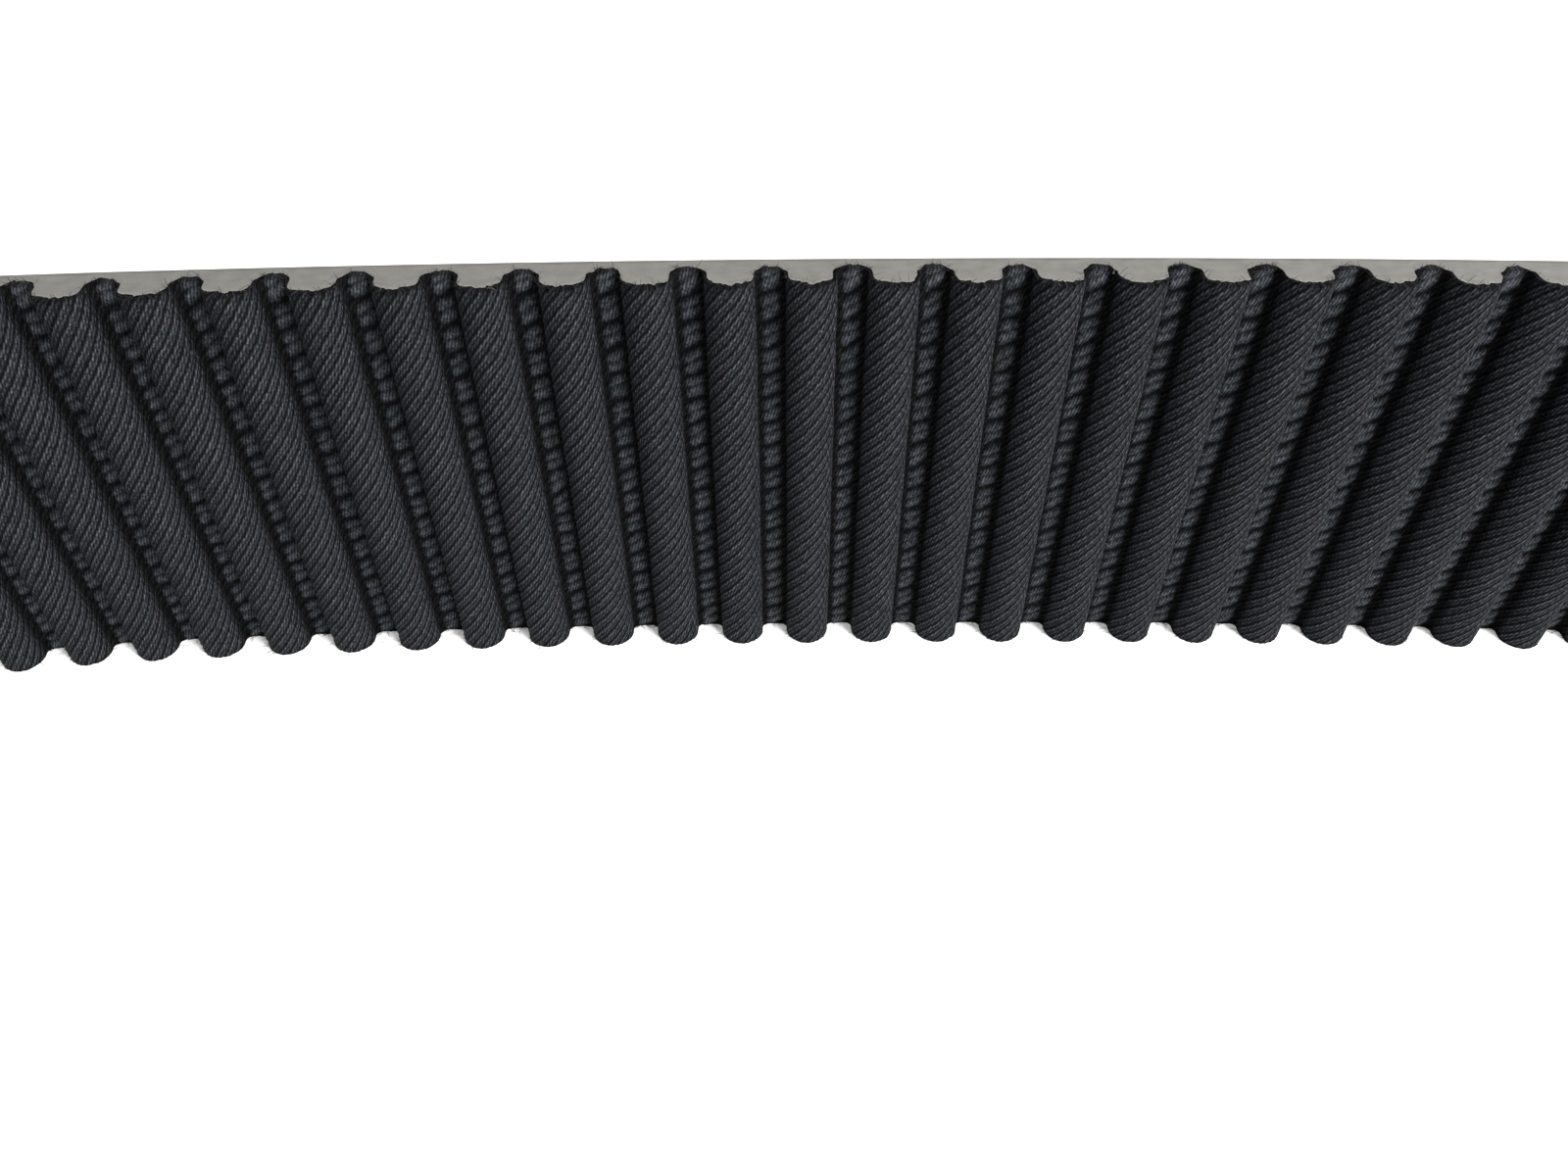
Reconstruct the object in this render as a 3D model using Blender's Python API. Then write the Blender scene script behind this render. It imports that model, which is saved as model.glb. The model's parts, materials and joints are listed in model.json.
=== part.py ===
"""A round-tooth timing belt: an endless loop of rubber, cords and facing fabric, standing on its cut edge.

The loop is divided into equal stretches that are hinged to each other on the cords' centre line, so
that it can flex between an oval and a circle. Each stretch holds its length of the three layers.
+Z is up, across the belt. The two runs lie along X. The origin is the middle of the base.
"""

import math

import bmesh
import bpy
import numpy as np

MM = 0.001

# The belt's section, from the round-tooth system of 8 mm pitch.
PITCH = 8 * MM
TOOTH_HEIGHT = 3.38 * MM
TIP_RADIUS = 2.57 * MM
FILLET = 0.5 * MM  # between a tooth's side and the land
PITCH_DEPTH = 0.686 * MM  # the cords' centre line, under the surface of the lands between the teeth
THICKNESS = 5.6 * MM  # from a tooth's tip to the back
WIDTH = 50 * MM

# The layers. Each keeps a gap to the next.
FABRIC = 0.25 * MM
CORD_PLY = 0.47 * MM
LAYER_GAP = 0.2 * MM
BACK_GAP = 0.25 * MM
CORD_MARGIN = 2 * MM  # solid rubber above and below the cords, along the two cut edges

# The loop, measured along the cords. A run's curvature is nearly nil, and rises smoothly into the bend.
TEETH = 100
STRETCHES = 20
RUN_CURVATURE = 0.57  # per metre, at the middle of a run
BEND_START = 14 * PITCH  # from the middle of a run to where the bend is half developed
BEND_EASE = 1 * PITCH

# The ends of a stretch, where it meets the next one at a hinge.
END_GAP = 0.34 * MM
TOOTH_SIDE_TAPER = math.radians(9)
BACK_TAPER = math.radians(13)

# Facets.
TIP_STEPS = 6
TURN_PER_STEP = math.radians(6)
TABLE_STEP = 0.1 * MM

LENGTH = TEETH * PITCH
QUARTER = LENGTH / 4
STRETCH = LENGTH / STRETCHES
BACK = PITCH_DEPTH + TOOTH_HEIGHT - THICKNESS  # the back, measured inwards from the cords: negative
RUBBER_DEPTH = FABRIC + LAYER_GAP


def clear_scene():
    for obj in list(bpy.data.objects):
        bpy.data.objects.remove(obj)


def make_collection(name, hidden=False):
    collection = bpy.data.collections.new(name)
    bpy.context.scene.collection.children.link(collection)
    collection.hide_render = hidden
    return collection


def make_material(name, colour, roughness):
    material = bpy.data.materials.new(name)
    material.use_nodes = True
    shader = material.node_tree.nodes["Principled BSDF"]
    shader.inputs["Base Color"].default_value = (*colour, 1)
    shader.inputs["Roughness"].default_value = roughness
    shader.inputs["Metallic"].default_value = 0
    material.diffuse_color = (*colour, 1)
    return material


def soft_step(s):
    """A ramp that is flat before the bend starts and rises in proportion to s after it."""
    return BEND_EASE * math.log1p(math.exp((s - BEND_START) / BEND_EASE))


BEND_CURVATURE = (math.pi / 2 - RUN_CURVATURE * QUARTER) / (soft_step(QUARTER) - soft_step(0))


def turned(s):
    """How far the belt has turned, s metres from the middle of the far run. Each quarter mirrors the last."""
    quarters, rest = divmod(s, QUARTER)
    if quarters % 2:
        rest = QUARTER - rest
    turn = RUN_CURVATURE * rest + BEND_CURVATURE * (soft_step(rest) - soft_step(0))
    if quarters % 2:
        return (quarters + 1) * math.pi / 2 - turn
    return quarters * math.pi / 2 + turn


def centre_line():
    """Stations along the loop and their places, from the middle of the far run, clockwise from above."""
    count = round(LENGTH / TABLE_STEP)
    stations = np.linspace(0, LENGTH, count + 1)
    middles = (stations[1:] + stations[:-1]) / 2
    turns = np.array([turned(s) for s in middles])
    step = LENGTH / count
    x = np.concatenate([[0], np.cumsum(np.cos(turns)) * step])
    y = np.concatenate([[0], np.cumsum(-np.sin(turns)) * step])
    return stations, x, y - (y.max() + y.min()) / 2


STATIONS, LINE_X, LINE_Y = centre_line()


def place(s, inward=0):
    """The point s metres along the loop, and that far in from the cords towards the teeth."""
    along = s % LENGTH
    x, y = np.interp(along, STATIONS, LINE_X), np.interp(along, STATIONS, LINE_Y)
    turn = turned(along)
    return x - inward * math.sin(turn), y - inward * math.cos(turn)


def hinge(number):
    """Where stretch number meets the one after it."""
    return place((number + 0.5) * STRETCH)


def tooth(middle, depth):
    """One tooth's profile at that depth under the surface: a fillet, a side, the round tip, and down again."""
    radius = TIP_RADIUS - depth
    foot = TIP_RADIUS + FILLET
    centre = PITCH_DEPTH + TOOTH_HEIGHT - TIP_RADIUS
    tip = [math.pi * (1 - step / TIP_STEPS) for step in range(1, TIP_STEPS)]
    half = [(-foot, PITCH_DEPTH - depth), (-radius, PITCH_DEPTH + FILLET)]
    round_tip = [(radius * math.cos(angle), centre + radius * math.sin(angle)) for angle in tip]
    other_half = [(-along, inward) for along, inward in reversed(half)]
    return [(middle + along, inward) for along, inward in half + round_tip + other_half]


def toothed_face(number, depth):
    """The toothed side of a stretch at that depth, from one end to the other."""
    middle = number * STRETCH
    reach = end_reach(PITCH_DEPTH - depth)
    points = [(middle - reach, PITCH_DEPTH - depth)]
    half = (TEETH // STRETCHES - 1) / 2
    for index in range(TEETH // STRETCHES):
        points += tooth(middle + (index - half) * PITCH, depth)
    return points + [(middle + reach, PITCH_DEPTH - depth)]


def end_reach(inward):
    """Half the length of a stretch at that level: its ends taper away from the hinge line both ways."""
    taper = TOOTH_SIDE_TAPER if inward > 0 else BACK_TAPER
    return (STRETCH - END_GAP) / 2 - abs(inward) * math.tan(taper)


def plain_face(number, inward, reach):
    """A smooth face of a stretch at that level, from one end to the other, with steps enough for its bend."""
    middle = number * STRETCH
    turn = turned(middle + STRETCH / 2) - turned(middle - STRETCH / 2)
    steps = max(2, math.ceil(turn / TURN_PER_STEP))
    return [(middle + reach * (2 * step / steps - 1), inward) for step in range(steps + 1)]


def band(number, outer, inner):
    """A closed outline between two faces of a stretch, in the plane of the base."""
    return [place(s, inward) for s, inward in outer + inner[::-1]]


def extruded(name, outline, low, high, origin, collection):
    """A solid of that outline from one height to another, its own origin at the given point."""
    curve = bpy.data.curves.new(name, "CURVE")
    curve.dimensions = "2D"
    curve.fill_mode = "BOTH"
    curve.extrude = (high - low) / 2
    spline = curve.splines.new("POLY")
    spline.points.add(len(outline) - 1)
    for point, (x, y) in zip(spline.points, outline):
        point.co = (x - origin[0], y - origin[1], 0, 1)
    spline.use_cyclic_u = True
    guide = bpy.data.objects.new(name + "_outline", curve)
    bpy.context.scene.collection.objects.link(guide)
    graph = bpy.context.evaluated_depsgraph_get()
    mesh = bpy.data.meshes.new_from_object(guide.evaluated_get(graph))
    mesh.name = name
    bpy.data.objects.remove(guide)
    bpy.data.curves.remove(curve)
    welded = bmesh.new()
    welded.from_mesh(mesh)
    bmesh.ops.remove_doubles(welded, verts=welded.verts, dist=0.000001)
    bmesh.ops.translate(welded, verts=welded.verts, vec=(0, 0, (low + high) / 2))
    bmesh.ops.recalc_face_normals(welded, faces=welded.faces)
    welded.to_mesh(mesh)
    welded.free()
    obj = bpy.data.objects.new(name, mesh)
    collection.objects.link(obj)
    return obj


def dress(obj, material, holder):
    obj.data.materials.append(material)
    obj.data.shade_smooth()
    obj.data.set_sharp_from_angle(angle=math.radians(40))
    obj.parent = holder


def facing_fabric(number, label, origin, collection):
    """The woven facing, over the teeth and the lands."""
    outline = band(number, toothed_face(number, 0), toothed_face(number, FABRIC))
    return extruded(f"facing_fabric_{label}", outline, 0, WIDTH, origin, collection)


def tensile_cords(number, label, origin, collection):
    """The ply of cords that carries the pull, on the pitch line."""
    reach = end_reach(0)
    faces = [plain_face(number, side * CORD_PLY / 2, reach) for side in (1, -1)]
    outline = band(number, *faces)
    low, high = CORD_MARGIN + BACK_GAP, WIDTH - CORD_MARGIN - BACK_GAP
    return extruded(f"tensile_cords_{label}", outline, low, high, origin, collection)


def rubber_body(number, label, origin, collection, cutters):
    """The backing and the teeth, one moulding round the slot that the cords lie in."""
    inner = toothed_face(number, RUBBER_DEPTH)
    middle = number * STRETCH
    waist = end_reach(0)
    outline = band(
        number,
        [(middle - waist, 0), *inner, (middle + waist, 0)],
        plain_face(number, BACK, end_reach(BACK)),
    )
    body = extruded(f"rubber_body_{label}", outline, 0, WIDTH, origin, collection)
    past_the_end = STRETCH / 2 + END_GAP
    slot = band(
        number,
        plain_face(number, CORD_PLY / 2 + LAYER_GAP, past_the_end),
        plain_face(number, -CORD_PLY / 2 - BACK_GAP, past_the_end),
    )
    cutter = extruded(
        f"cord_slot_{label}", slot, CORD_MARGIN, WIDTH - CORD_MARGIN, origin, cutters
    )
    cutter.hide_render = True
    cutter.display_type = "WIRE"
    cut = body.modifiers.new("cord_slot", "BOOLEAN")
    cut.object = cutter
    return body, cutter


def make_holder(number, label, collection, holders):
    """An empty on the hinge that joins the stretch to the one nearer the first stretch."""
    holder = bpy.data.objects.new(f"stretch_{label}_hinge", None)
    holder.empty_display_size = 5 * MM
    collection.objects.link(holder)
    if number == 0:
        return holder, (0.0, 0.0)
    right_hand = number <= STRETCHES // 2
    neighbour = number - 1 if right_hand else (number + 1) % STRETCHES
    origin = hinge(number - 1 if right_hand else number)
    parent, parent_origin = holders[neighbour]
    holder.parent = parent
    holder.location = (origin[0] - parent_origin[0], origin[1] - parent_origin[1], 0)
    return holder, origin


def chain_order():
    """Stretch numbers from the first one outwards: half of them clockwise, then the rest the other way."""
    return [*range(STRETCHES // 2 + 1), *range(STRETCHES - 1, STRETCHES // 2, -1)]


def main():
    clear_scene()
    parts = make_collection("timing_belt")
    cutters = make_collection("cutters", hidden=True)
    rubber = make_material("rubber", (0.19, 0.19, 0.18), 0.7)
    fabric = make_material("facing_fabric", (0.025, 0.027, 0.03), 0.85)
    cord = make_material("tensile_cord", (0.62, 0.58, 0.47), 0.6)
    holders = {}
    for number in chain_order():
        label = f"{number + 1:02d}"
        holder, origin = make_holder(number, label, parts, holders)
        holders[number] = (holder, origin)
        body, cutter = rubber_body(number, label, origin, parts, cutters)
        cutter.parent = holder
        dress(body, rubber, holder)
        dress(facing_fabric(number, label, origin, parts), fabric, holder)
        dress(tensile_cords(number, label, origin, parts), cord, holder)


main()
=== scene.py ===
"""The looks of a round-tooth timing belt that stands on its cut edge.

The belt flexes at hinges between its stretches. Every layer is therefore made in lengths that
each run from one stretch to the next and cross the hinge between them. A length starts and
ends on the tip of a tooth. Every size is in metres.
"""

import json
import math

import bpy
import numpy as np
from mathutils import Matrix, Vector

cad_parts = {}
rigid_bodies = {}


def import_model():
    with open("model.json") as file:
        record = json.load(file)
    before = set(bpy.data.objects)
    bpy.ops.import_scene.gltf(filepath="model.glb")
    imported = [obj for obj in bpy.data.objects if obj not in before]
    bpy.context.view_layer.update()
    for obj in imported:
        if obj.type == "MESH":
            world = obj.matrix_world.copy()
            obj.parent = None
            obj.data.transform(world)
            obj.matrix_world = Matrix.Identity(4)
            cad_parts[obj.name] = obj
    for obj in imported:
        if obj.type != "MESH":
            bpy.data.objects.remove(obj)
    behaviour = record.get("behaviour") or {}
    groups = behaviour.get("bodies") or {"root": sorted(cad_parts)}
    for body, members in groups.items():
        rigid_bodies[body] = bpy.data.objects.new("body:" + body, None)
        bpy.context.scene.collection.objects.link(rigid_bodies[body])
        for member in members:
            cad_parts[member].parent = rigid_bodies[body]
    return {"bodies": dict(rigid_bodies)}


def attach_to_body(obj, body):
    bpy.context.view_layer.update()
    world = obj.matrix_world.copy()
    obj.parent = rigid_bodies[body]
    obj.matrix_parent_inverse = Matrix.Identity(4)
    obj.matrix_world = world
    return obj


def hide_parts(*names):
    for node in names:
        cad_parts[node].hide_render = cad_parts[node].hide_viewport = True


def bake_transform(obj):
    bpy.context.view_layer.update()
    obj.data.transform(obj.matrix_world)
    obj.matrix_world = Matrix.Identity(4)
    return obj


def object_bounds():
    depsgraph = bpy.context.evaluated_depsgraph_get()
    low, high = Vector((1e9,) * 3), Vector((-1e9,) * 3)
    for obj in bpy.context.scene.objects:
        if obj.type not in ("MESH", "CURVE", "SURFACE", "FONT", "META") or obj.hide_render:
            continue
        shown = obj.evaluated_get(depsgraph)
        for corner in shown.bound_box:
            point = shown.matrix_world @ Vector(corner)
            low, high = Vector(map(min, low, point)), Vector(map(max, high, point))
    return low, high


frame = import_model()
CAD_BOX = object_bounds()

MM = 0.001

# The belt's section: the CAD's driving sizes. Heights over the cords count towards the teeth.
PITCH = 8 * MM
TOOTH_HEIGHT = 3.38 * MM
TIP_RADIUS = 2.57 * MM
FILLET = 0.5 * MM
PITCH_DEPTH = 0.686 * MM
THICKNESS = 5.6 * MM
BACK = PITCH_DEPTH + TOOTH_HEIGHT - THICKNESS
BEVEL = 0.16 * MM  # along the edges of the back
WIDTH = CAD_BOX[1].z - CAD_BOX[0].z

# The loop, measured along the cords: the CAD's law.
TEETH = 100
STRETCHES = len(frame["bodies"])
TEETH_PER_STRETCH = TEETH // STRETCHES
LENGTH = TEETH * PITCH
QUARTER = LENGTH / 4
STRETCH = LENGTH / STRETCHES
RUN_CURVATURE = 0.57
BEND_START = 14 * PITCH
BEND_EASE = PITCH
HINGE_REACH = 19 * MM  # attach places a point this far on each side of a hinge; nothing reads them
OPEN_HINGE = STRETCHES // 2  # no joint closes the loop after this stretch

# Facing fabric
FABRIC = 0.25 * MM
RIM = 1.2 * MM  # near a cut edge the pressed yarns swell and fray
RIM_ON_LAND = 0.85 * MM
RIM_ON_TIP = 0.95 * MM
RIM_ON_FLANK = 0.32 * MM
RIM_WAVES = 0.15 * MM
RIM_TUFTS = 0.19 * MM
RIM_ROUGHNESS = 0.06 * MM
RIM_SHADE = 0.35 * MM  # the cloth darkens towards the rim within this distance
EDGE_WEAR = 0.14 * MM  # the edge of the toothed surface is worn and ragged this far in
EDGE_DROP = 0.12 * MM
EDGE_TUFTS = 0.07 * MM
EDGE_NICKS = 0.12 * MM
ROW = 0.22 * MM
EDGE_ROWS = np.array([0, 0.05, 0.12, 0.22, 0.36]) * MM
MIDDLE_ROWS_START = 0.55 * MM
WALE = 1.58 * MM  # across the belt, from one twill line to the next
WALES_ROUND = 917  # twill lines that the cloth crosses on its way round the belt
WALE_DEPTH = 0.17 * MM
YARNS_PER_TOOTH = 36
YARN_LEAN = 0.27
BLOCK = 2 * WALE  # on a land the cloth is pressed into blocks of two twill lines
BLOCK_START = 0.1 * MM
BLOCK_DEPTH = 0.20 * MM
BLOCK_BUMPS = 0.03 * MM
GROOVE_RISE = 0.5 * MM  # a groove climbs this much from a land's middle to its side
LAND_DOME = 0.07 * MM
LAND_FALL = 0.12 * MM  # from a land's middle to its side
LAND_SPREAD = 1.08  # the pressed cloth reaches a little past the land
LAND_FADE = 0.14 * MM
TOOTH_SWELL = 0.04 * MM
TOOTH_BUMPS = 0.015 * MM
CREASE = 0.16 * MM  # painted shade in the creases at the teeth's feet is darkest this far out from a land's side
# the painted shade in the creases fades towards the land over this width
CREASE_SHADE_WIDTH = 0.27 * MM
# the painted shade in the creases fades out up a tooth's flank by about this height
CREASE_SHADE_HEIGHT = 1.5 * MM

# Cords
CORDS = 30
CORD_MARGIN = 2.2 * MM
CORD_RADIUS = 0.4 * MM
CORD_LAY = 18 * MM  # the strands turn once round the cord in this length

# Loose yarn ends
UPPER_SHARE = 0.7  # of the loose ends stand on the upper edge
UPPER_LEVEL = WIDTH - 0.15 * MM
LOWER_LEVEL = 0.12 * MM
FLOOR_GAP = 0.05 * MM  # the fibres stay this far over the floor
SHORTEST_END = 0.12 * MM
LONGEST_END = 1.3 * MM
THINNEST_END = 0.018 * MM  # radius
THICKEST_END = 0.034 * MM

# Camera
CAMERA_PLACE = (-0.01865, -0.04459, 0.11371)
CAMERA_TILT = math.radians(44.97)
CAMERA_YAW = 0.0014
CAMERA_ROLL = -0.0042
LENS = 28.665

FLOOR_REACH = 4.0


# ---------------------------------------------------------------- the loop


def soft_step(s):
    return BEND_EASE * np.logaddexp(0, (s - BEND_START) / BEND_EASE)


BEND_CURVATURE = (math.pi / 2 - RUN_CURVATURE * QUARTER) / (soft_step(QUARTER) - soft_step(0))


def turned(s):
    """How far the belt has turned, clockwise from above, s metres after the middle of the far run."""
    quarters, rest = np.divmod(s, QUARTER)
    odd = quarters % 2 == 1
    rest = np.where(odd, QUARTER - rest, rest)
    turn = RUN_CURVATURE * rest + BEND_CURVATURE * (soft_step(rest) - soft_step(0))
    return np.where(odd, (quarters + 1) * math.pi / 2 - turn, quarters * math.pi / 2 + turn)


def centre_line(count=8000):
    stations = np.linspace(0, LENGTH, count + 1)
    turns = turned((stations[1:] + stations[:-1]) / 2)
    step = LENGTH / count
    x = np.concatenate([[0], np.cumsum(np.cos(turns)) * step])
    y = np.concatenate([[0], np.cumsum(-np.sin(turns)) * step])
    return stations, x, y - (y.max() + y.min()) / 2


STATIONS, LINE_X, LINE_Y = centre_line()


def place(s, inward, z):
    """The points at s along the loop, inward from the cords, at height z. All three may be arrays."""
    along = np.mod(s, LENGTH)
    turn = turned(along)
    x = np.interp(along, STATIONS, LINE_X) - inward * np.sin(turn)
    y = np.interp(along, STATIONS, LINE_Y) - inward * np.cos(turn)
    return np.stack(np.broadcast_arrays(x, y, z), axis=-1)


def random_field(seed, cell):
    """A smooth random function of s and z, from -1 to 1, that closes round the loop."""
    columns = round(LENGTH / cell)
    rows = round(WIDTH / cell) + 2
    grid = np.random.default_rng(seed).uniform(-1, 1, (columns, rows))

    def read(s, z):
        a = np.mod(s, LENGTH) / LENGTH * columns
        b = np.clip(z / WIDTH, 0, 1) * (rows - 2)
        i, j = np.floor(a).astype(int), np.floor(b).astype(int)
        u, v = a - i, b - j
        u, v = u * u * (3 - 2 * u), v * v * (3 - 2 * v)
        i, after = i % columns, (i + 1) % columns
        low = grid[i, j] * (1 - u) + grid[after, j] * u
        high = grid[i, j + 1] * (1 - u) + grid[after, j + 1] * u
        return low * (1 - v) + high * v

    return read


YARN_ENDS = random_field(1, 0.35 * MM)
FRAY = random_field(2, 1.6 * MM)
SWELL = random_field(3, 3.5 * MM)
BUMPS = random_field(4, 0.8 * MM)


# ---------------------------------------------------------------- the toothed profile


def half_profile():
    """From a land's middle to a tooth's tip: distance along from the tip, height over the land."""
    foot = TIP_RADIUS + FILLET
    fillet = np.radians(np.linspace(270, 360, 6))[1:]
    tip = np.radians(np.append(np.linspace(180, 90, 18)[:-1], [90.6, 90]))
    along = np.concatenate([
        np.linspace(-PITCH / 2, -foot, 7),
        -foot + FILLET * np.cos(fillet),
        TIP_RADIUS * np.cos(tip),
    ])
    height = np.concatenate([
        np.zeros(7),
        FILLET + FILLET * np.sin(fillet),
        TOOTH_HEIGHT - TIP_RADIUS + TIP_RADIUS * np.sin(tip),
    ])
    return along, height


def profile():
    along, height = half_profile()
    return np.concatenate([along, -along[-2::-1]]), np.concatenate([height, height[-2::-1]])


PROFILE_ALONG, PROFILE_HEIGHT = profile()
PROFILE_STEPS = np.hypot(np.diff(PROFILE_ALONG), np.diff(PROFILE_HEIGHT))
PROFILE_CLOTH = np.concatenate([[0], np.cumsum(PROFILE_STEPS)])
CLOTH_PITCH = PROFILE_CLOTH[-1]  # length of cloth over one tooth
CLOTH_ROUND = TEETH * CLOTH_PITCH
LAND_HALF = PITCH / 2 - TIP_RADIUS - FILLET
TANGENT_ALONG = np.gradient(PROFILE_ALONG, PROFILE_CLOTH)
TANGENT_HEIGHT = np.gradient(PROFILE_HEIGHT, PROFILE_CLOTH)


class Columns:
    """The profile's points between two half-tooth marks. Mark 0 is on the tip of tooth 0, at s = 0."""

    def __init__(self, first, last):
        per_tooth = len(PROFILE_ALONG) - 1
        half = per_tooth // 2
        tooth, index = np.divmod(np.arange(first * half, last * half + 1) + half, per_tooth)
        self.count = len(index)
        self.along = PROFILE_ALONG[index]
        self.s = tooth * PITCH + self.along
        self.height = PROFILE_HEIGHT[index]
        self.cloth = PROFILE_CLOTH[index] + tooth * CLOTH_PITCH
        self.tangent = TANGENT_ALONG[index], TANGENT_HEIGHT[index]
        self.to_land = PITCH / 2 - np.abs(self.along)
        self.back_s = (self.cloth / CLOTH_PITCH - 0.5) * PITCH
        self.side = np.clip(self.to_land / LAND_HALF, 0, 1) * np.where(self.along > 0, -1, 1)
        self.land = np.clip((LAND_HALF * LAND_SPREAD - self.to_land) / LAND_FADE, 0, 1)
        self.rim = self.rim_depth()

    def rim_depth(self):
        """How deep the frayed fabric reaches at a cut edge."""
        land = np.clip((LAND_HALF - self.to_land) / FILLET + 0.5, 0, 1)
        tip = np.clip(self.height / TOOTH_HEIGHT * 2.2 - 1.1, 0, 1)
        depth = RIM_ON_FLANK + (RIM_ON_LAND - RIM_ON_FLANK) * land
        depth += (RIM_ON_TIP - RIM_ON_FLANK) * tip * tip * (3 - 2 * tip)
        level = np.zeros(self.count)
        return depth + RIM_WAVES * FRAY(self.s, level) + RIM_TUFTS * YARN_ENDS(self.s, level)

    def at(self, depth, z):
        """The points that deep in the belt under the toothed surface."""
        s = self.s + self.tangent[1] * depth
        inward = PITCH_DEPTH + self.height - self.tangent[0] * depth
        return place(s, inward, z)


# ---------------------------------------------------------------- meshes


def make_object(name, points, quads, caps, materials, paint=None):
    """A mesh of smooth quads and flat caps. paint gives each quad's material."""
    mesh = bpy.data.meshes.new(name)
    corners = np.concatenate([quads.ravel(), caps.ravel()]).astype(np.int32)
    sizes = np.concatenate([np.full(len(quads), 4), np.full(len(caps), caps.shape[1])])
    starts = (np.cumsum(sizes) - sizes).astype(np.int32)
    mesh.vertices.add(len(points))
    mesh.loops.add(len(corners))
    mesh.polygons.add(len(sizes))
    mesh.vertices.foreach_set("co", points.astype(np.float32).ravel())
    mesh.loops.foreach_set("vertex_index", corners)
    mesh.polygons.foreach_set("loop_start", starts)
    mesh.polygons.foreach_set("use_smooth", np.arange(len(sizes)) < len(quads))
    for material in materials:
        mesh.materials.append(material)
    if paint is not None:
        paint = np.append(paint, np.zeros(len(caps))).astype(np.int32)
        mesh.polygons.foreach_set("material_index", paint)
    mesh.update(calc_edges=True)
    obj = bpy.data.objects.new(name, mesh)
    bpy.context.scene.collection.objects.link(obj)
    return obj


def tube_faces(tubes, stations, sides):
    """Quads and caps of closed tubes whose points are stored tube by tube, ring by ring."""
    t, i, j = np.meshgrid(np.arange(tubes), np.arange(stations - 1), np.arange(sides), indexing="ij")
    ring = (t * stations + i) * sides
    here, beside = (ring + j).ravel(), (ring + (j + 1) % sides).ravel()
    quads = np.stack([here, here + sides, beside + sides, beside], axis=-1)
    first = (np.arange(tubes) * stations * sides)[:, None] + np.arange(sides)
    last = first[:, ::-1] + (stations - 1) * sides
    return quads, np.concatenate([first, last])


def give(obj, name, x, y, z):
    """Stores three numbers at each point for the materials to read."""
    values = np.stack(np.broadcast_arrays(x, y, z), axis=-1)
    layer = obj.data.attributes.new(name, "FLOAT_VECTOR", "POINT")
    layer.data.foreach_set("vector", values.astype(np.float32).ravel())


# ---------------------------------------------------------------- facing fabric


def dip(phase, width):
    """A dip of depth 1 at every whole number of the phase, width of a period to each side."""
    return np.exp(-(((phase - np.round(phase)) / width) ** 2))


def blocks(side, s, z):
    """How deep the cloth of a land is pressed in, from 1 between two blocks to less than 0 on one."""
    phase = (z - BLOCK_START - GROOVE_RISE * side) / BLOCK + 0.07 * FRAY(s, z) + 0.04 * SWELL(s, z)
    pressed = dip(phase, 0.14) + 0.60 * dip(phase - 0.53, 0.07) + 0.25 * YARN_ENDS(s, z)
    return pressed - 0.35 * dip(phase - 0.34, 0.09) - 0.25 * dip(phase - 0.71, 0.08)


def wales(cloth, s, z):
    """The phase of the twill: whole numbers lie in the grooves between two twill lines."""
    across = cloth * WALES_ROUND / CLOTH_ROUND
    return z / WALE - across + 0.06 * SWELL(s, z) + 0.04 * FRAY(s, z)


def fabric_rows():
    """Heights of the rows across the belt, closer together at the cut edges."""
    start, end = MIDDLE_ROWS_START, WIDTH - MIDDLE_ROWS_START
    middle = np.linspace(start, end, round((end - start) / ROW))
    return np.concatenate([EDGE_ROWS, middle, WIDTH - EDGE_ROWS[::-1]])


def toothed_surface(columns, rows):
    """The face of the cloth: blocks on the lands, twill lines on the teeth, worn edges."""
    s, z = np.meshgrid(columns.s, rows, indexing="ij")
    side, land = columns.side[:, None], columns.land[:, None]
    on_land = LAND_DOME - LAND_FALL * side**4
    on_land = on_land - BLOCK_DEPTH * blocks(side, s, z) + BLOCK_BUMPS * BUMPS(s, z)
    twill = wales(columns.cloth[:, None], s, z)
    on_tooth = TOOTH_SWELL * SWELL(s, z) + TOOTH_BUMPS * BUMPS(s, z)
    on_tooth -= WALE_DEPTH * (dip(twill, 0.20) + 0.75 * dip(twill - 0.5, 0.13))
    edge = np.exp(-np.minimum(z, WIDTH - z) / EDGE_WEAR)
    tufts = YARN_ENDS(s, z)
    relief = land * on_land + (1 - land) * on_tooth + edge * (EDGE_TUFTS * tufts - EDGE_DROP)
    out_s = s - columns.tangent[1][:, None] * relief
    inward = PITCH_DEPTH + columns.height[:, None] + columns.tangent[0][:, None] * relief
    ragged = edge * EDGE_NICKS * np.clip(tufts + 0.3, 0, 1)
    return place(out_s, inward, z + np.where(z > WIDTH / 2, -ragged, ragged))


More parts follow.
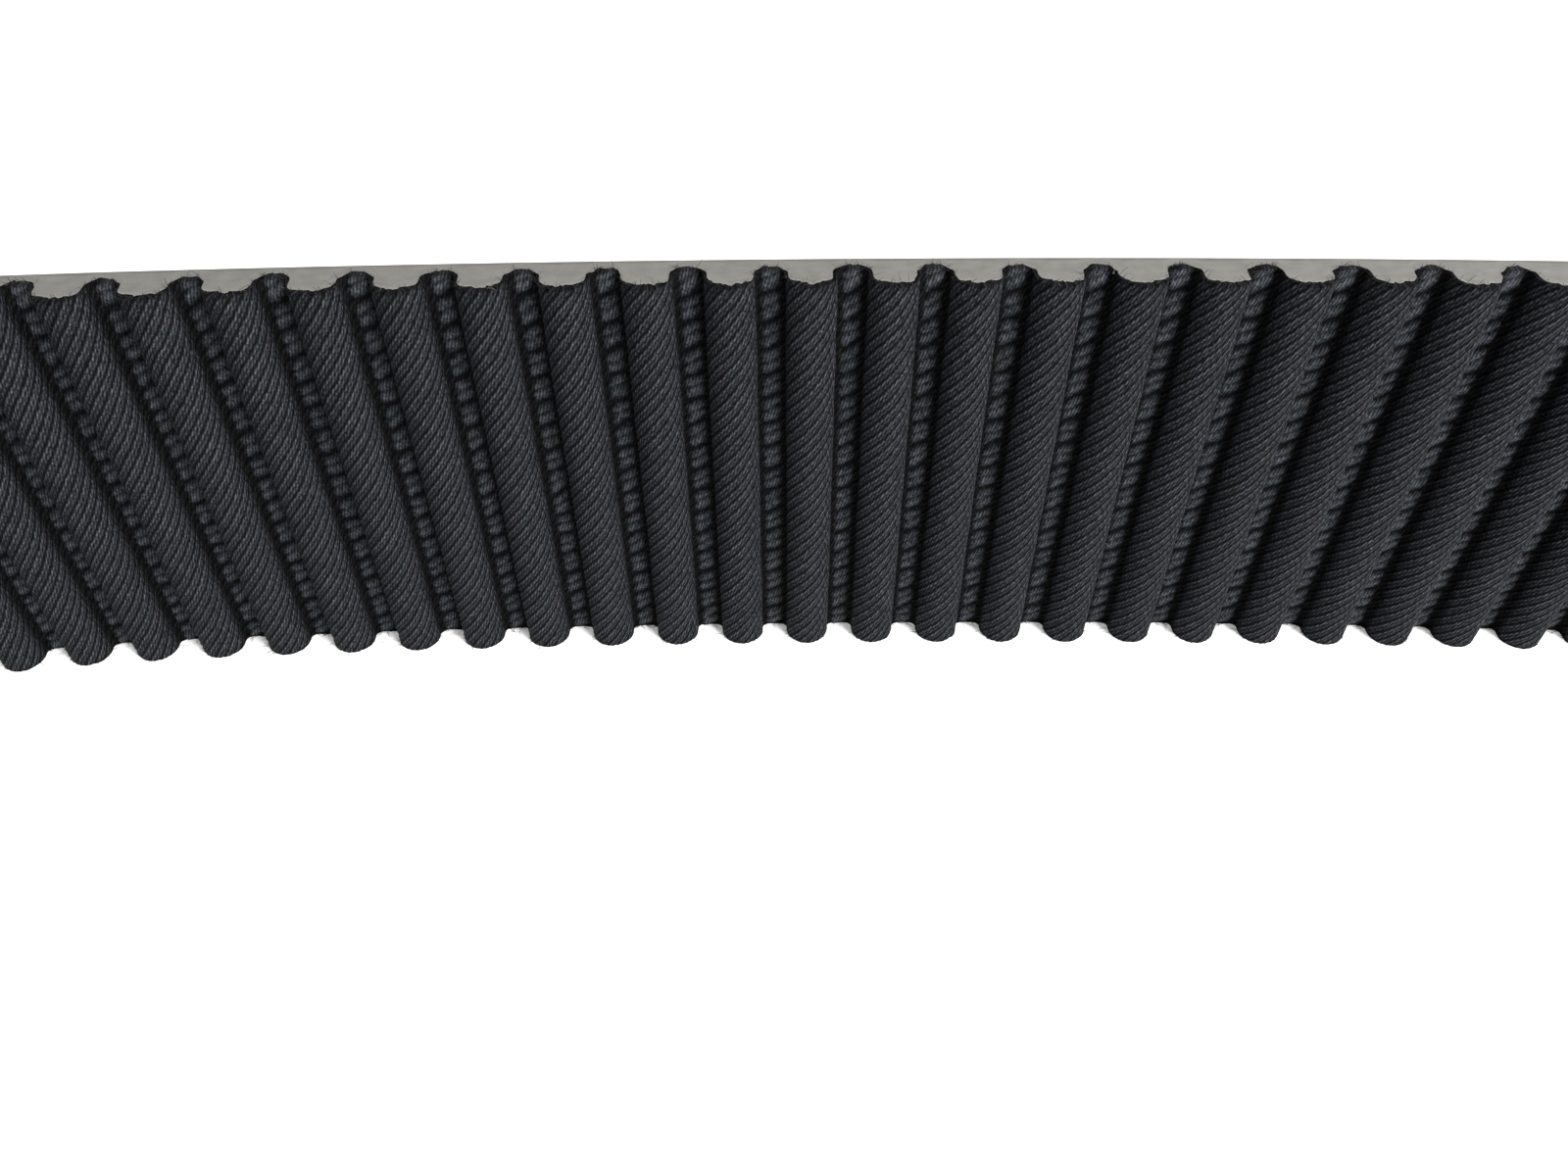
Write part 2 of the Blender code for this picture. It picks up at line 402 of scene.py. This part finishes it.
def build_fabric(label, first, last, material):
    """The woven facing: toothed surface with its blocks, rough cut rims and the bonded back."""
    columns, rows = Columns(first, last), fabric_rows()
    front = toothed_surface(columns, rows)
    back = [
        columns.at(columns.rim, WIDTH),
        columns.at(FABRIC, WIDTH - RIM),
        columns.at(FABRIC, RIM),
        columns.at(columns.rim, 0),
    ]
    top, bottom = [], []
    for share in (0.2, 0.4, 0.6, 0.8):
        rough = RIM_ROUGHNESS * (1 + YARN_ENDS(columns.s, np.full(columns.count, share * WIDTH)))
        top.append(columns.at(share * columns.rim, WIDTH - rough))
        bottom.append(columns.at(share * columns.rim, rough))
    rings = np.concatenate([front, np.stack(top + back + bottom[::-1], axis=1)], axis=1)
    quads, caps = tube_faces(1, columns.count, rings.shape[1])
    obj = make_object(f"cloth_{label}", rings.reshape(-1, 3), quads, caps, [material])
    behind = rings.shape[1] - len(rows)
    z = np.concatenate([rows, np.full(behind // 2, WIDTH), np.zeros(behind - behind // 2)])
    rim = np.append(np.exp(-np.minimum(rows, WIDTH - rows) / RIM_SHADE), np.ones(behind))
    give_weave(obj, columns, z, rim)
    return obj


def give_weave(obj, columns, z, rim):
    """Twill and yarn phases, blocks, rims, painted shade in creases and at land sides, cloth laid
    round a cylinder.
    """
    # painted shade in the creases at the teeth's feet, reaching on up the lower flanks
    past_crease = columns.to_land - LAND_HALF - CREASE
    painted_crease_shade = np.maximum(np.exp(-((past_crease / CREASE_SHADE_WIDTH) ** 2)), past_crease > 0)
    painted_crease_shade *= np.clip(1.15 - columns.height / CREASE_SHADE_HEIGHT, 0, 1)
    cloth, s, side = columns.cloth[:, None], columns.s[:, None], columns.side[:, None]
    yarn = (cloth - YARN_LEAN * z) / CLOTH_PITCH * YARNS_PER_TOOTH
    around = cloth / CLOTH_ROUND * math.tau
    radius = CLOTH_ROUND / math.tau / MM
    give(obj, "weave", wales(cloth, s, z), yarn, columns.land[:, None])
    # x: how deep the blocks are pressed, plus painted shade towards the land's sides; y: painted shade
    # in the creases; z: the rim
    give(obj, "relief", blocks(side, s, z) + 0.28 * side**2, painted_crease_shade[:, None], rim)
    give(obj, "cloth", radius * np.cos(around), radius * np.sin(around), z / MM)


# ---------------------------------------------------------------- rubber


def build_rubber(label, first, last, cut, back):
    """The rubber body, from the fabric's back to the smooth back of the belt, with its cut edges."""
    columns = Columns(first, last)
    shares = np.array([0.04, 0.1, 0.25, 0.5, 0.75, 0.92, 1])
    inner = [
        columns.at(columns.rim, 0),
        columns.at(FABRIC, RIM),
        columns.at(FABRIC, WIDTH - RIM),
        columns.at(columns.rim, WIDTH),
    ]
    start_s = columns.s + columns.tangent[1] * columns.rim
    start_in = PITCH_DEPTH + columns.height - columns.tangent[0] * columns.rim

    def across(share, z):
        """A line over a cut edge, that share of the way from the fabric to the back."""
        s = start_s + (columns.back_s - start_s) * share
        return place(s, start_in + (BACK + BEVEL - start_in) * share, z)

    top = [across(share, WIDTH) for share in shares]
    bottom = [across(share, 0) for share in shares]
    levels = np.linspace(WIDTH - BEVEL, BEVEL, 14)
    smooth = [place(columns.back_s, np.full(columns.count, BACK), level) for level in levels]
    rings = np.stack(inner + top + smooth + bottom[::-1], axis=1)
    quads, caps = tube_faces(1, columns.count, rings.shape[1])
    ring_place = np.arange(rings.shape[1]) - len(inner) - len(top) + 1
    on_back = (ring_place >= 0) & (ring_place <= len(levels))
    paint = np.tile(on_back, columns.count - 1)
    obj = make_object(f"rubber_{label}", rings.reshape(-1, 3), quads, caps, [cut, back], paint)
    obj.data.set_sharp_from_angle(angle=math.radians(35))
    edge = np.concatenate([np.zeros(len(inner)), shares, np.ones(len(levels)), shares[::-1]])
    inner_z = [0, RIM, WIDTH - RIM, WIDTH]
    z = np.concatenate([inner_z, np.full(len(top), WIDTH), levels, np.zeros(len(bottom))])
    give(obj, "rubber", columns.back_s[:, None] / MM, z / MM, edge)
    return obj


# ---------------------------------------------------------------- cords


def build_cords(label, first, last, material, sides=10):
    """The tensile cords, laid side by side and twisted left and right by turns."""
    stations = np.linspace(first * PITCH / 2, last * PITCH / 2, 5 * (last - first) // 2 + 1)
    levels = np.linspace(CORD_MARGIN, WIDTH - CORD_MARGIN, CORDS)
    around = np.arange(sides) / sides * math.tau
    hand = np.where(np.arange(CORDS) % 2, 1, -1)
    twist = hand[:, None, None] * stations[:, None] / CORD_LAY * math.tau + around
    radius = CORD_RADIUS * (0.92 + 0.08 * np.cos(3 * twist))
    z = levels[:, None, None] + radius * np.cos(around)
    points = place(stations[:, None], -radius * np.sin(around), z)
    quads, caps = tube_faces(CORDS, len(stations), sides)
    obj = make_object(f"cords_{label}", points.reshape(-1, 3), quads, caps, [material])
    give(obj, "strand", twist.ravel(), z.ravel() / MM, 0)
    return obj


# ---------------------------------------------------------------- loose yarn ends


def yarn_end_paths(draw, columns, count, share):
    """The fibres' points: each leaves a cut edge at random and curls a little along its length."""
    weight = np.where(columns.land > 0.5, 2.2, 1.0) * np.gradient(columns.cloth)
    weight[:3] = weight[-3:] = 0
    pick = draw.choice(columns.count, count, p=weight / weight.sum())
    deep = draw.uniform(0, 1, count) * columns.rim[pick]
    upper = draw.random(count) < UPPER_SHARE
    along, up = columns.tangent[0][pick], columns.tangent[1][pick]
    s = columns.s[pick] + up * deep + draw.normal(0, 0.05 * MM, count)
    inward = PITCH_DEPTH + columns.height[pick] - along * deep
    z = np.where(upper, UPPER_LEVEL, LOWER_LEVEL)
    length = draw.gamma(2.2, 0.14 * MM, count).clip(SHORTEST_END, LONGEST_END)[:, None]
    length = length * np.where(upper, 1, 1.7)[:, None]
    lean = draw.normal(0, 0.55, (2, count))
    curl = draw.normal(0, 0.5, (2, count, 1))
    go_s = (lean[0] - np.where(upper, 0, 0.9) * up)[:, None]
    go_in = (0.6 * lean[1] + np.where(upper, -0.25, 0.9) * along)[:, None]
    go_up = np.where(upper, 0.9, 0.12)[:, None]
    path_s = s[:, None] + length * (go_s * share + curl[0] * share**2)
    path_in = inward[:, None] + length * (go_in * share + 0.5 * curl[1] * share**2)
    path_z = np.maximum(z[:, None] + length * go_up * share, FLOOR_GAP)
    return path_s, path_in, path_z


def build_yarn_ends(label, first, last, material, per_tooth=130, stations=5, sides=4):
    """Short fibres that stand out of the fabric where the belt was cut."""
    draw = np.random.default_rng(100 + first)
    count = per_tooth * (last - first) // 2
    share = np.linspace(0, 1, stations)
    path_s, path_in, path_z = yarn_end_paths(draw, Columns(first, last), count, share)
    thick = draw.uniform(THINNEST_END, THICKEST_END, count)[:, None]
    radius = (thick * (1 - 0.55 * share**2))[:, :, None]
    around = (np.arange(sides) + 0.5) / sides * math.tau
    ring_s = path_s[:, :, None] + radius * np.cos(around)
    ring_in = path_in[:, :, None] - radius * np.sin(around)
    ring_z = path_z[:, :, None] + 0.3 * radius * np.sin(around)
    quads, caps = tube_faces(count, stations, sides)
    points = place(ring_s, ring_in, ring_z)
    obj = make_object(f"yarn_ends_{label}", points.reshape(-1, 3), quads, caps, [material])
    give(obj, "tone", np.repeat(draw.random(count), stations * sides), 0, 0)
    return obj


# ---------------------------------------------------------------- materials


class Look:
    """A Principled material and short-hand for the nodes in front of it."""

    def __init__(self, name, **finish):
        self.material = bpy.data.materials.new(name)
        self.material.use_nodes = True
        self.tree = self.material.node_tree
        self.shader = self.tree.nodes["Principled BSDF"]
        for socket, value in finish.items():
            self.shader.inputs[socket.replace("_", " ")].default_value = value

    def add(self, kind, *values, **settings):
        node = self.tree.nodes.new("ShaderNode" + kind)
        for key, value in settings.items():
            setattr(node, key, value)
        for socket, value in zip(node.inputs, values):
            self.feed(socket, value)
        return node

    def feed(self, socket, value):
        if isinstance(value, bpy.types.NodeSocket):
            self.tree.links.new(value, socket)
        elif value is not None:
            socket.default_value = value

    def math(self, operation, a, b=0.0):
        return self.add("Math", a, b, operation=operation).outputs[0]

    def plus(self, a, b):
        return self.math("ADD", a, b)

    def times(self, a, b):
        return self.math("MULTIPLY", a, b)

    def span(self, value, low, high, out_low=0.0, out_high=1.0):
        """value mapped from low..high onto out_low..out_high, and kept between them."""
        return self.add("MapRange", value, low, high, out_low, out_high).outputs[0]

    def attribute(self, name):
        stored = self.add("Attribute", attribute_name=name)
        return list(self.add("SeparateXYZ", stored.outputs["Vector"]).outputs)

    def vector(self, x, y, z=0.0):
        return self.add("CombineXYZ", x, y, z).outputs[0]

    def noise(self, vector, scale=1.0, detail=2.0):
        node = self.add("TexNoise")
        self.feed(node.inputs["Vector"], vector)
        node.inputs["Scale"].default_value = scale
        node.inputs["Detail"].default_value = detail
        return node.outputs[0]

    def wave(self, phase):
        """A sine wave from 0 to 1 whose period is 1."""
        return self.plus(self.times(self.math("SINE", self.times(phase, math.tau)), 0.5), 0.5)

    def mix(self, factor, a, b):
        node = self.add("Mix", data_type="RGBA")
        for socket, value in ((node.inputs[0], factor), (node.inputs[6], a), (node.inputs[7], b)):
            self.feed(socket, value)
        return node.outputs[2]

    def between(self, factor, a, b):
        """The number that far from a to b."""
        node = self.add("Mix")
        for socket, value in ((node.inputs[0], factor), (node.inputs[2], a), (node.inputs[3], b)):
            self.feed(socket, value)
        return node.outputs[0]

    def scale(self, colour, factor):
        """The colour made brighter or darker."""
        node = self.add("VectorMath", operation="SCALE")
        self.feed(node.inputs[0], colour)
        self.feed(node.inputs["Scale"], factor)
        return node.outputs[0]

    def colour(self, value):
        self.feed(self.shader.inputs["Base Color"], value)

    def bump(self, height, depth):
        node = self.add("Bump")
        node.inputs["Strength"].default_value = 1.0
        node.inputs["Distance"].default_value = depth
        self.feed(node.inputs["Height"], height)
        self.feed(self.shader.inputs["Normal"], node.outputs[0])


def fabric_look():
    """Black twill of nylon over the teeth: diagonal wales, fine yarns, painted shade in grooves and
    creases, some lint.
    """
    look = Look("facing_fabric", Roughness=0.85, Specular_IOR_Level=0.06)
    wale, yarn, land = look.attribute("weave")
    pressing_and_side_shade, painted_crease_shade, rim = look.attribute("relief")
    flat = look.add("Attribute", attribute_name="cloth").outputs["Vector"]
    jitter = look.noise(flat, 1.9)
    patch = look.noise(flat, 0.55)
    fuzz = look.noise(flat, 3.4, 4.0)
    wale = look.plus(wale, look.times(jitter, 0.30))
    shift = -0.40  # painted shade: the lines are darkest in a groove and just past it, as under a light from the right
    line = look.wave(look.plus(wale, shift))
    half_wale_relief_and_shade = look.wave(look.plus(look.times(wale, 2.0), shift))
    yarns = look.wave(look.plus(yarn, look.times(jitter, 0.8)))
    line_height = look.plus(look.times(half_wale_relief_and_shade, 0.7), 0.3)
    yarn_height = look.plus(look.times(yarns, 0.5), 0.5)
    look.bump(look.plus(look.times(line_height, yarn_height), fuzz), 0.09 * MM)
    # painted shade: the cloth on the teeth is darker in and just past the grooves between twill lines
    twill = look.span(line, 0.05, 0.8, 0.34, 1.32)
    twill = look.times(twill, look.span(half_wale_relief_and_shade, 0.0, 1.0, 0.32, 1.60))
    # painted shade: the land's cloth is darker where it is pressed in between the blocks and towards
    # the land's sides
    pressed = look.span(pressing_and_side_shade, -0.4, 0.9, 3.0, 0.25)
    tone = look.between(land, twill, pressed)
    tone = look.times(tone, look.span(yarns, 0.0, 1.0, 0.42, 1.58))
    tone = look.times(tone, look.span(patch, 0.3, 0.7, 0.88, 1.12))
    tone = look.times(tone, look.span(fuzz, 0.30, 0.7, 0.30, 2.0))
    # painted shade in the creases at the teeth's feet
    tone = look.times(tone, look.span(painted_crease_shade, 0.0, 1.0, 1.0, 0.15))
    tone = look.times(tone, look.span(rim, 0.0, 1.0, 1.0, 0.3))
    black, bluish = (0.0128, 0.0148, 0.0168, 1), (0.0140, 0.0148, 0.0178, 1)
    base = look.mix(look.span(patch, 0.4, 0.6), black, bluish)
    speck = look.add("TexVoronoi")
    look.feed(speck.inputs["Vector"], flat)
    speck.inputs["Scale"].default_value = 0.5
    small = look.math("LESS_THAN", speck.outputs["Distance"], 0.035)
    lint = look.times(small, look.math("GREATER_THAN", look.noise(flat, 0.9), 0.6))
    look.colour(look.mix(look.times(lint, 0.7), look.scale(base, tone), (0.16, 0.155, 0.145, 1)))
    return look.material


def cut_rubber_look():
    """Where the knife cut the rubber: dull grey, faint knife lines, a pale fringe by the fabric."""
    look = Look("cut_rubber", Roughness=0.62, Specular_IOR_Level=0.3)
    s, z, edge = look.attribute("rubber")
    along = look.vector(s, look.times(edge, 5.0), z)
    mottle = look.noise(along, 0.6, 3.0)
    grain = look.noise(along, 7.0, 2.0)
    lines = look.noise(look.vector(look.times(s, 0.12), look.times(edge, 26.0)))
    grey, pale = (0.097, 0.096, 0.090, 1), (0.125, 0.122, 0.112, 1)
    base = look.mix(look.span(mottle, 0.3, 0.7), grey, pale)
    tone = look.span(grain, 0.3, 0.7, 0.92, 1.08)
    tone = look.times(tone, look.span(lines, 0.3, 0.7, 0.94, 1.06))
    near_back = look.times(look.span(edge, 0.86, 0.93), look.span(edge, 0.93, 1.0, 1.0, 0.0))
    tone = look.times(tone, look.span(near_back, 0.0, 1.0, 1.0, 0.72))
    fringe = look.times(look.span(edge, 0.0, 0.09, 1.0, 0.0), look.span(grain, 0.42, 0.6))
    base = look.mix(look.times(fringe, 0.6), base, (0.26, 0.25, 0.21, 1))
    look.colour(look.scale(base, tone))
    look.bump(look.plus(grain, look.times(lines, 1.5)), 0.02 * MM)
    return look.material


def back_rubber_look():
    """The belt's back: black rubber, ground smooth, with fine marks along the belt."""
    look = Look("back_rubber", Roughness=0.6, Specular_IOR_Level=0.4)
    s, z, _ = look.attribute("rubber")
    marks = look.noise(look.vector(look.times(s, 0.06), look.times(z, 3.2)), 1.0, 4.0)
    grain = look.noise(look.vector(s, z), 4.0, 2.0)
    dust = look.noise(look.vector(s, z), 0.12, 4.0)
    tone = look.span(marks, 0.3, 0.7, 0.8, 1.25)
    tone = look.times(tone, look.span(grain, 0.3, 0.7, 0.9, 1.1))
    black, dusty = (0.022, 0.023, 0.025, 1), (0.034, 0.034, 0.035, 1)
    base = look.mix(look.span(dust, 0.35, 0.7), black, dusty)
    look.colour(look.scale(base, tone))
    look.feed(look.shader.inputs["Roughness"], look.span(marks, 0.3, 0.7, 0.5, 0.75))
    look.bump(look.plus(marks, look.times(grain, 0.4)), 0.04 * MM)
    return look.material


def cord_look():
    """Twisted glass strands in their resin."""
    look = Look("tensile_cords", Roughness=0.45, Specular_IOR_Level=0.5)
    twist, z, _ = look.attribute("strand")
    strands = look.wave(look.times(twist, 6 / math.tau))
    speckle = look.noise(look.vector(twist, z), 1.5)
    base = look.mix(strands, (0.42, 0.38, 0.29, 1), (0.66, 0.62, 0.50, 1))
    look.colour(look.scale(base, look.span(speckle, 0.3, 0.7, 0.85, 1.1)))
    look.bump(strands, 0.04 * MM)
    return look.material


def yarn_end_look():
    """Black nylon fibres, a few of them bare and pale."""
    look = Look("yarn_ends", Roughness=0.8, Specular_IOR_Level=0.15)
    tone, _, _ = look.attribute("tone")
    pale = look.math("GREATER_THAN", tone, 0.96)
    dark = look.mix(tone, (0.004, 0.004, 0.005, 1), (0.015, 0.015, 0.015, 1))
    look.colour(look.mix(pale, dark, (0.07, 0.065, 0.055, 1)))
    return look.material


def floor_look():
    """White paper. It glows a little, so that it stays white under a small light."""
    look = Look("floor", Roughness=0.7, Specular_IOR_Level=0.2, Emission_Strength=0.22)
    position = look.add("TexCoord").outputs["Object"]
    look.colour(look.mix(look.noise(position, 6.0), (0.90, 0.90, 0.90, 1), (0.93, 0.93, 0.925, 1)))
    return look.material


# ---------------------------------------------------------------- the belt


def body_name(number):
    return f"stretch_{number % STRETCHES + 1:02d}"


def attach(obj, number, hinged):
    """Lets a piece ride on its stretch; a piece across the hinge after a stretch only has its place
    baked into its points.
    """
    if not hinged:
        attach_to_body(obj, body_name(number))
        return
    hinge = (number + 0.5) * STRETCH
    start, end = place(np.array([hinge - HINGE_REACH, hinge + HINGE_REACH]), 0, WIDTH / 2)
    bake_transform(obj)


def lengths():
    """(label, first mark, last mark, stretch, crosses a hinge) of every length of the belt."""
    for number in range(STRETCHES):
        label = f"{number + 1:02d}"
        first = 2 * number * TEETH_PER_STRETCH
        last = first + 2 * TEETH_PER_STRETCH
        if number != OPEN_HINGE:
            yield label, first, last, number, True
            continue
        split = first + TEETH_PER_STRETCH
        yield label, first, split, number, False
        yield label + "_end", split, last, number + 1, False


def build_belt():
    fabric, cut, back = fabric_look(), cut_rubber_look(), back_rubber_look()
    cord, yarn = cord_look(), yarn_end_look()
    for label, first, last, number, hinged in lengths():
        layers = {
            "facing_fabric": build_fabric(label, first, last, fabric),
            "rubber_body": build_rubber(label, first, last, cut, back),
            "tensile_cords": build_cords(label, first, last, cord),
        }
        for slot, obj in layers.items():
            attach(obj, number, hinged)
            if not label.endswith("_end"):
                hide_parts(f"{slot}_{label}")
        ends = build_yarn_ends(label, first, last, yarn)
        attach(ends, number, hinged)


# ---------------------------------------------------------------- the studio


def build_floor():
    corners = [[-1, -1, 0], [1, -1, 0], [1, 1, 0], [-1, 1, 0]]
    points = FLOOR_REACH * np.array(corners)
    no_caps = np.zeros((0, 4), int)
    make_object("floor", points, np.array([[0, 1, 2, 3]]), no_caps, [floor_look()])


def add_light(name, at, aim, size, watts, colour):
    lamp = bpy.data.lights.new(name, "AREA")
    lamp.shape = "DISK"
    lamp.size = size
    lamp.energy = watts
    lamp.color = colour
    obj = bpy.data.objects.new(name, lamp)
    obj.location = at
    obj.rotation_euler = (Vector(aim) - Vector(at)).to_track_quat("-Z", "Y").to_euler()
    bpy.context.scene.collection.objects.link(obj)


def build_lights():
    world = bpy.data.worlds.new("studio")
    world.use_nodes = True
    background = world.node_tree.nodes["Background"]
    background.inputs["Color"].default_value = (1.0, 1.0, 1.0, 1)
    background.inputs["Strength"].default_value = 0.85
    bpy.context.scene.world = world
    add_light("key", (0.39, -0.29, 0.42), (0, 0.02, 0), 0.34, 12.5, (1.0, 0.99, 0.97))


def build_camera():
    camera = bpy.data.objects.new("camera", bpy.data.cameras.new("camera"))
    camera.data.lens = LENS
    camera.data.clip_start = MM
    camera.location = CAMERA_PLACE
    aim = Matrix.Rotation(CAMERA_YAW, 4, "Z") @ Matrix.Rotation(math.pi / 2 - CAMERA_TILT, 4, "X")
    camera.rotation_euler = (aim @ Matrix.Rotation(CAMERA_ROLL, 4, "Z")).to_euler()
    bpy.context.scene.collection.objects.link(camera)
    bpy.context.scene.camera = camera


build_belt()
build_floor()
build_lights()
build_camera()
bpy.context.scene.view_settings.view_transform = "Standard"
